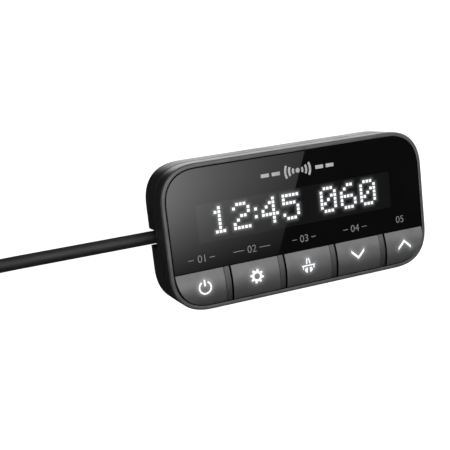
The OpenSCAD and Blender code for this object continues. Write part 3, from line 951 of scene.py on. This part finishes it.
def key_column_limits(key, y):
    """Left and right edge of a key cap at a height on the face, with the corner rounded off."""
    low, high = box_mm("key_" + key)
    radius = CORNER_R - LENS_INSET
    past = -y - (HALF_H - LENS_INSET - radius)
    side = HALF_W - LENS_INSET - radius + corner_span(past, radius)
    return max(low.x + KEY_TRIM, -side), min(high.x - KEY_TRIM, side)


def crown_height(key):
    """The height of a key's surface at a place on the face, before the strip on its right is cut."""
    low, high = box_mm("key_" + key)
    middle, half = (low.y + high.y) / 2, (high.y - low.y) / 2
    rise = high.z - FACE_Z
    radius = (half * half + rise * rise) / (2 * rise)
    return lambda x, y: high.z - radius + math.sqrt(radius**2 - (y - middle) ** 2)


def post_centre(key):
    """The middle of the key's post, over its switch."""
    low, high = box_mm("plunger_" + key)
    return (low.x + high.x) / 2, (low.y + high.y) / 2


def symbol_centre(key):
    """Symbols sit a little above the middle of the flat part of their key."""
    low, high = box_mm("key_" + key)
    strip_w = 0 if key == KEYS[-1] else STRIP_W
    across, up = SYMBOL_SHIFT[key]
    return (low.x + high.x - strip_w) / 2 + across, (low.y + high.y) / 2 + up


KEY_ROWS = 44
KEY_COLUMNS = 56
STRIP_COLUMNS = 6
GROOVE_W = 0.14
GROOVE_D = 0.2


def has_strip(key):
    """Every key but the last has a sloping strip on its right, beyond a groove."""
    return key != KEYS[-1]


def key_row(key, y, crown):
    """Points across a key's surface at one height on the face."""
    left, right = key_column_limits(key, y)
    strip_x = right - STRIP_W if has_strip(key) else right
    main_w = strip_x - GROOVE_W - left
    row = [(left + main_w * k / KEY_COLUMNS, y) for k in range(KEY_COLUMNS + 1)]
    row = [(x, y, crown(x, y)) for x, y in row]
    if has_strip(key):
        row.append((strip_x, y, crown(strip_x, y) - GROOVE_D))
        start = strip_x + GROOVE_W
        for k in range(STRIP_COLUMNS + 1):
            x = start + (right - start) * k / STRIP_COLUMNS
            row.append((x, y, crown(x, y) - STRIP_DROP * (x - strip_x) / STRIP_W))
    return row


def make_key(key):
    low, high = box_mm("key_" + key)
    crown = crown_height(key)
    turns = [math.radians(90 * r / KEY_ROWS) for r in range(KEY_ROWS + 1)]
    points = [key_row(key, high.y + (low.y - high.y) * math.sin(turn), crown) for turn in turns]
    piece = solid_under("cap_" + key, points, CAP_BOTTOM, MATERIALS["key_plastic"])
    combine(piece, [rod_bm(*post_centre(key), POST_R, low.z, CAP_BOTTOM + 0.3)], "UNION")
    bevel(piece, KEY_EDGE, 3, 50)
    smooth_by_angle(piece.data, 28)
    # The sloping strip on the right gets the darker copy of the key paint: painted shade.
    piece.data.materials.append(KEY_STRIP_PAINTED_SHADE)
    # Side faces get the near-black gap material: painted shade in the gaps between the keys.
    piece.data.materials.append(GAP_PAINTED_SHADE)
    for face in piece.data.polygons:
        if face.normal.z < 0.5:
            face.material_index = 2
        elif has_strip(key) and face.center.x > (high.x - STRIP_W) * MM:
            face.material_index = 1
    return piece


def make_symbol(key, shapes):
    """The key's symbol, set into its crowned surface."""
    crown = crown_height(key)

    def low(x, y):
        return crown(x, y) - PRINT_DEPTH

    def high(x, y):
        return crown(x, y) + PRINT_PROUD

    return marks("symbol_" + key, shapes, low, high, SYMBOL_LIGHT)


def make_keys():
    for key in KEYS:
        body = f"key_{key}_body"
        shapes = symbol_shapes(key, symbol_centre(key))
        cap = make_key(key)
        glow_from(cap, shapes, KEY_REACH)
        ride(cap, body, "key_plastic", "key_" + key)
        ride(make_symbol(key, shapes), body, "led_resin")


# ---- Display: window, lit dots, emblem and captions ----

DOT_PITCH = 1.17
DOT_W = 0.87
DOT_DEPTH = 0.15
WINDOW_STEP = 0.3
DIGITS = {
    "0": ("01110", "10001", "10011", "10101", "11001", "10001", "01110"),
    "1": ("00100", "01100", "00100", "00100", "00100", "00100", "01110"),
    "2": ("01110", "10001", "00001", "00110", "01000", "10000", "11111"),
    "4": ("00010", "00110", "01010", "10010", "11111", "00010", "00010"),
    "5": ("11111", "10000", "11110", "00001", "00001", "10001", "01110"),
    "6": ("00110", "01000", "10000", "11110", "10001", "10001", "01110"),
    ":": ("0", "0", "1", "0", "1", "0", "0"),
    " ": ("0000", "0000", "0000", "0000", "0000", "0000", "0000"),
}
READOUT = "12:45 060"
READOUT_X = -29.0
READOUT_TOP = 7.75


def dot_centres():
    """The places of the readout's lit dots on the face."""
    column = 0
    centres = []
    for character in READOUT:
        rows = DIGITS[character]
        for r, row in enumerate(rows):
            centres += [(READOUT_X + (column + c) * DOT_PITCH, READOUT_TOP - r * DOT_PITCH)
                        for c, mark in enumerate(row) if mark == "1"]
        column += len(rows[0]) + 1
    return centres


def make_display():
    half = DOT_W / 2
    dots = [bar((x - half, y), (x + half, y), DOT_W, 3) for x, y in dot_centres()]
    piece = marks("display_dots", dots, level(FACE_Z - DOT_DEPTH), level(FACE_Z + PRINT_PROUD), DOT_LIGHT)
    ride(piece, ROOT, "led_resin")
    size = window_high - window_low
    columns, rows = round(size.x / WINDOW_STEP), round(size.y / WINDOW_STEP)
    points = [[(window_low.x + size.x * c / columns, window_low.y + size.y * r / rows, FACE_Z)
               for c in range(columns + 1)] for r in range(rows + 1)]
    window = solid_under("window", points, LEDGE_Z, MATERIALS["window_tint"])
    glow_from(window, dots, WINDOW_REACH)
    ride(window, ROOT, "window_tint", "display_window")


EMBLEM_AT = (0.15, 14.75)
EMBLEM_DOT_R, EMBLEM_DOT_STROKE = 0.36, 0.71
WAVE_RADII = (1.6, 2.9, 4.2)
WAVE_STROKE = 0.7
WAVE_HALF_DEG = 27
DASHES = ((6.0, 8.7), (9.6, 12.3))
DASH_W = 1.1


def make_emblem():
    """A plain radio wave sign in the middle of the lens, above the window."""
    x, y = EMBLEM_AT
    shapes = [arc(EMBLEM_AT, EMBLEM_DOT_R, EMBLEM_DOT_STROKE, 0, 360, 24)]
    for radius in WAVE_RADII:
        for middle in (0, 180):
            first, last = middle - WAVE_HALF_DEG, middle + WAVE_HALF_DEG
            shapes.append(arc(EMBLEM_AT, radius, WAVE_STROKE, first, last, 16))
    for side in (1, -1):
        for start, end in DASHES:
            shapes.append(bar((x + side * start, y), (x + side * end, y), DASH_W))
    ride(print_on_face("emblem", shapes, EMBLEM_GREY), ROOT, "white_plastic")


# Each caption's centre across the face and its whole width with its lines
CAPTION_PLACES = ((-33.7, 8.4), (-17.5, 12.2), (0.05, 8.0), (18.0, 8.4), (34.5, 3.7))
CAPTION_Y = -6.25
CAPTION_H = 2.2
CAPTION_STROKE = 0.22
NUMBER_WIDTH = 0.98
NUMBER_GAP = 2.5
NUMBER_THIN = -0.004


def print_number(number, x):
    """A thin printed number, centred at x on the captions' line."""
    data = bpy.data.curves.new("caption", "FONT")
    data.body = f"{number:02d}"
    data.extrude = 0.02
    data.offset = NUMBER_THIN
    text = bpy.data.objects.new("caption", data)
    scene.collection.objects.link(text)
    graph = bpy.context.evaluated_depsgraph_get()
    mesh = bpy.data.meshes.new_from_object(text.evaluated_get(graph))
    bpy.data.objects.remove(text)
    xs, ys = [v.co.x for v in mesh.vertices], [v.co.y for v in mesh.vertices]
    middle_x, middle_y = (max(xs) + min(xs)) / 2, (max(ys) + min(ys)) / 2
    tall = CAPTION_H / (max(ys) - min(ys))
    for vertex in mesh.vertices:
        vertex.co = Vector((
            x + (vertex.co.x - middle_x) * tall * NUMBER_WIDTH,
            CAPTION_Y + (vertex.co.y - middle_y) * tall,
            FACE_Z + PRINT_PROUD if vertex.co.z > 0 else FACE_Z - PRINT_DEPTH,
        )) * MM
    piece = bpy.data.objects.new(f"caption_{number}", mesh)
    scene.collection.objects.link(piece)
    mesh.materials.clear()
    mesh.materials.append(PRINT_GREY)
    ride(piece, ROOT, "white_plastic")


def make_captions():
    """A number above each key, with a line on either side of it where there is room."""
    lines = []
    for number, (x, width) in enumerate(CAPTION_PLACES, 1):
        print_number(number, x)
        if width / 2 > NUMBER_GAP:
            for side in (-1, 1):
                start, end = x + side * NUMBER_GAP, x + side * width / 2
                lines.append(bar((start, CAPTION_Y), (end, CAPTION_Y), CAPTION_STROKE))
    ride(print_on_face("caption_lines", lines, PRINT_GREY), ROOT, "white_plastic")


make_front_housing()
make_rear_cover()
make_lens()
make_keys()
make_display()
make_emblem()
make_captions()


# ---- Floor and light ----


def stage_piece(name, mesh, camera=False, diffuse=False, glossy=True):
    piece = bpy.data.objects.new(name, mesh)
    scene.collection.objects.link(piece)
    piece.visible_camera = camera
    piece.visible_diffuse = diffuse
    piece.visible_glossy = glossy
    piece.visible_shadow = camera
    return piece


def stage_plane(name, corners, material, **seen):
    """A flat stage piece through four corners, in millimetres."""
    mesh = bpy.data.meshes.new(name)
    mesh.from_pydata([Vector(c) * MM for c in corners], [], [(0, 1, 2, 3)])
    mesh.materials.append(material)
    return stage_piece(name, mesh, **seen)


def glowing(name, strength, graded=False):
    """Card material that gives light, graded by the card's own glow values if it has them."""
    material = bpy.data.materials.new(name)
    material.use_nodes = True
    nodes, links = material.node_tree.nodes, material.node_tree.links
    nodes.clear()
    emission = nodes.new("ShaderNodeEmission")
    emission.inputs["Strength"].default_value = strength
    output = nodes.new("ShaderNodeOutputMaterial")
    links.new(emission.outputs["Emission"], output.inputs["Surface"])
    if graded:
        attribute = nodes.new("ShaderNodeAttribute")
        attribute.attribute_name = "glow"
        links.new(attribute.outputs["Color"], emission.inputs["Color"])
    return material


def graded_card(name, corners, steps, strength, grade):
    """A card whose light changes over it. Corners run anticlockwise and grade is given x and y."""
    a, b, c, d = (Vector(corner) for corner in corners)
    points = []
    for r in range(steps + 1):
        v = r / steps
        left, right = a + (d - a) * v, b + (c - b) * v
        points += [left + (right - left) * (k / steps) for k in range(steps + 1)]
    wide = steps + 1
    faces = []
    for r in range(steps):
        faces += [(i, i + 1, i + 1 + wide, i + wide) for i in range(r * wide, r * wide + steps)]
    mesh = bpy.data.meshes.new(name)
    mesh.from_pydata([p * MM for p in points], [], faces)
    glow = mesh.attributes.new("glow", "FLOAT", "POINT")
    for value, point in zip(glow.data, points):
        value.value = grade(point.x, point.y)
    mesh.materials.append(glowing(name + "_light", strength, graded=True))
    return stage_piece(name, mesh)


def rectangle(left, low, right, high, z):
    """Corners of a level rectangle, anticlockwise."""
    return (left, low, z), (right, low, z), (right, high, z), (left, high, z)


FLOOR_HALF, FLOOR_Z, FLOOR_LIGHT = 20000, -0.02, 0.95
SKY_HALF, SKY_Z, SKY_LIGHT = 3000, 1500, 0.3
CARD_Z = 252
SOFTBOX = ((-60, -150, CARD_Z), (66, -150, CARD_Z), (131, 10, CARD_Z), (-60, 10, CARD_Z))
KEYS_CARD = rectangle(-250, -2, 450, 350, CARD_Z)
LOW_CARD = rectangle(-100, -130, 350, -70, CARD_Z)
BOUNCE = rectangle(-42, HALF_H - 2, 400, 500, -4)
SOFTBOX_LIGHT, KEYS_CARD_LIGHT, LOW_CARD_LIGHT, BOUNCE_LIGHT = 3.5, 1.6, 2.2, 1.32


def softbox_grade(x, y):
    """Fades out to the right and towards low y."""
    return math.exp(-(max(x, 30) - 41) / 52) * smooth_step((y + 81) / 72)


def low_card_grade(x, y):
    """Brighter to the right and towards high y."""
    across = 0.35 + 0.65 * smooth_step((x - 20) / 200)
    return across * (0.3 + 0.92 * smooth_step((y + 96) / 24))


def bounce_grade(x, y):
    """Sets in just past the object's left side."""
    return smooth_step((x + 41) / 7)


def make_stage():
    """A white floor, a soft sky, and cards that the gloss of the face and of the top side mirrors."""
    floor = Recipe("floor", (0.85, 0.85, 0.85), 0.9)
    floor.tones(floor.noise(60, 2), (0.84, 0.84, 0.84), (0.86, 0.86, 0.86))
    floor.shader.inputs["Emission Color"].default_value = (1, 1, 1, 1)
    floor.shader.inputs["Emission Strength"].default_value = FLOOR_LIGHT
    stage_plane("floor", rectangle(-FLOOR_HALF, -FLOOR_HALF, FLOOR_HALF, FLOOR_HALF, FLOOR_Z),
                floor.material, camera=True, diffuse=True, glossy=False)
    stage_plane("sky", rectangle(-SKY_HALF, -SKY_HALF, SKY_HALF, SKY_HALF, SKY_Z),
                glowing("sky_light", SKY_LIGHT), diffuse=True, glossy=False)
    graded_card("softbox", SOFTBOX, 24, SOFTBOX_LIGHT, softbox_grade)
    stage_plane("keys_card", KEYS_CARD, glowing("keys_card_light", KEYS_CARD_LIGHT))
    graded_card("low_card", LOW_CARD, 16, LOW_CARD_LIGHT, low_card_grade)
    graded_card("top_bounce", BOUNCE, 200, BOUNCE_LIGHT, bounce_grade)


def area_light(name, place, aim, size, power):
    data = bpy.data.lights.new(name, "AREA")
    data.shape = "RECTANGLE"
    data.size, data.size_y = size[0] * MM, size[1] * MM
    data.energy = power
    light = bpy.data.objects.new(name, data)
    scene.collection.objects.link(light)
    light.location = Vector(place) * MM
    light.rotation_euler = (Vector(aim) - Vector(place)).to_track_quat("-Z", "Y").to_euler()
    light.visible_glossy = False


def make_light():
    world = bpy.data.worlds.new("studio")
    scene.world = world
    world.use_nodes = True
    background = world.node_tree.nodes["Background"]
    background.inputs["Color"].default_value = (1, 1, 1, 1)
    background.inputs["Strength"].default_value = 1.0
    world.cycles_visibility.glossy = False
    world.cycles_visibility.diffuse = False
    aim = (0, 0, 10)
    area_light("top_light", (60, 420, 330), aim, (420, 200), 1.0)
    area_light("left_light", (-420, -90, 120), aim, (160, 240), 0.52)
    scene.view_settings.view_transform = "Standard"
    scene.view_settings.look = "None"


make_stage()
make_light()
